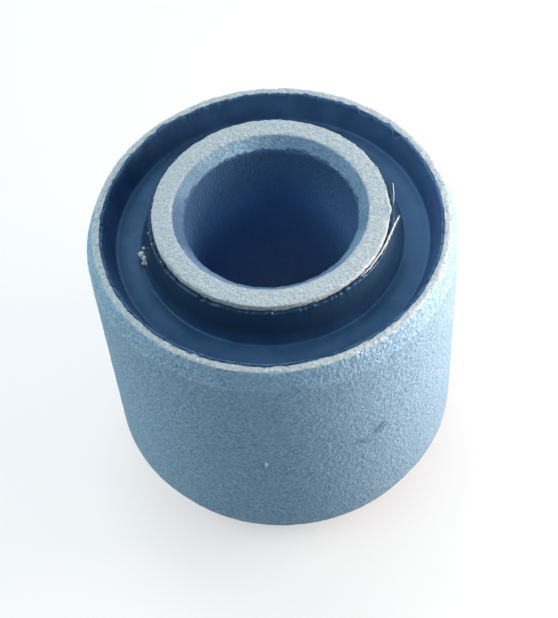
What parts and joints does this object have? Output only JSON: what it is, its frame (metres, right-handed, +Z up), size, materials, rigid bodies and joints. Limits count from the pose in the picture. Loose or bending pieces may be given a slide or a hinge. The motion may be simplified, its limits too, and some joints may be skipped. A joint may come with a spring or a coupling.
{
  "type": "rubber metal bush",
  "caption": "Straight rubber metal bush: steel outer and inner sleeves with a rubber body bonded between them, giving a cushioned pivot or mount.",
  "frame": {"origin": "on the common axis, in the lower end face of the inner sleeve, which the bush stands on", "axes": "+Z up the common axis of both sleeves; the bush is turned, so X and Y are any two directions across it"},
  "size_m": [0.035, 0.035, 0.0325],
  "materials": {
    "outer_sleeve": "grit-blasted, matt grey",
    "inner_sleeve": "grit-blasted end faces, dark bore",
    "rubber_body": "as moulded, satin black"
  },
  "bodies": {
    "root": {"outer_sleeve": "outer_sleeve", "inner_sleeve": "inner_sleeve", "rubber_body": "rubber_body"}
  },
  "joints": []
}
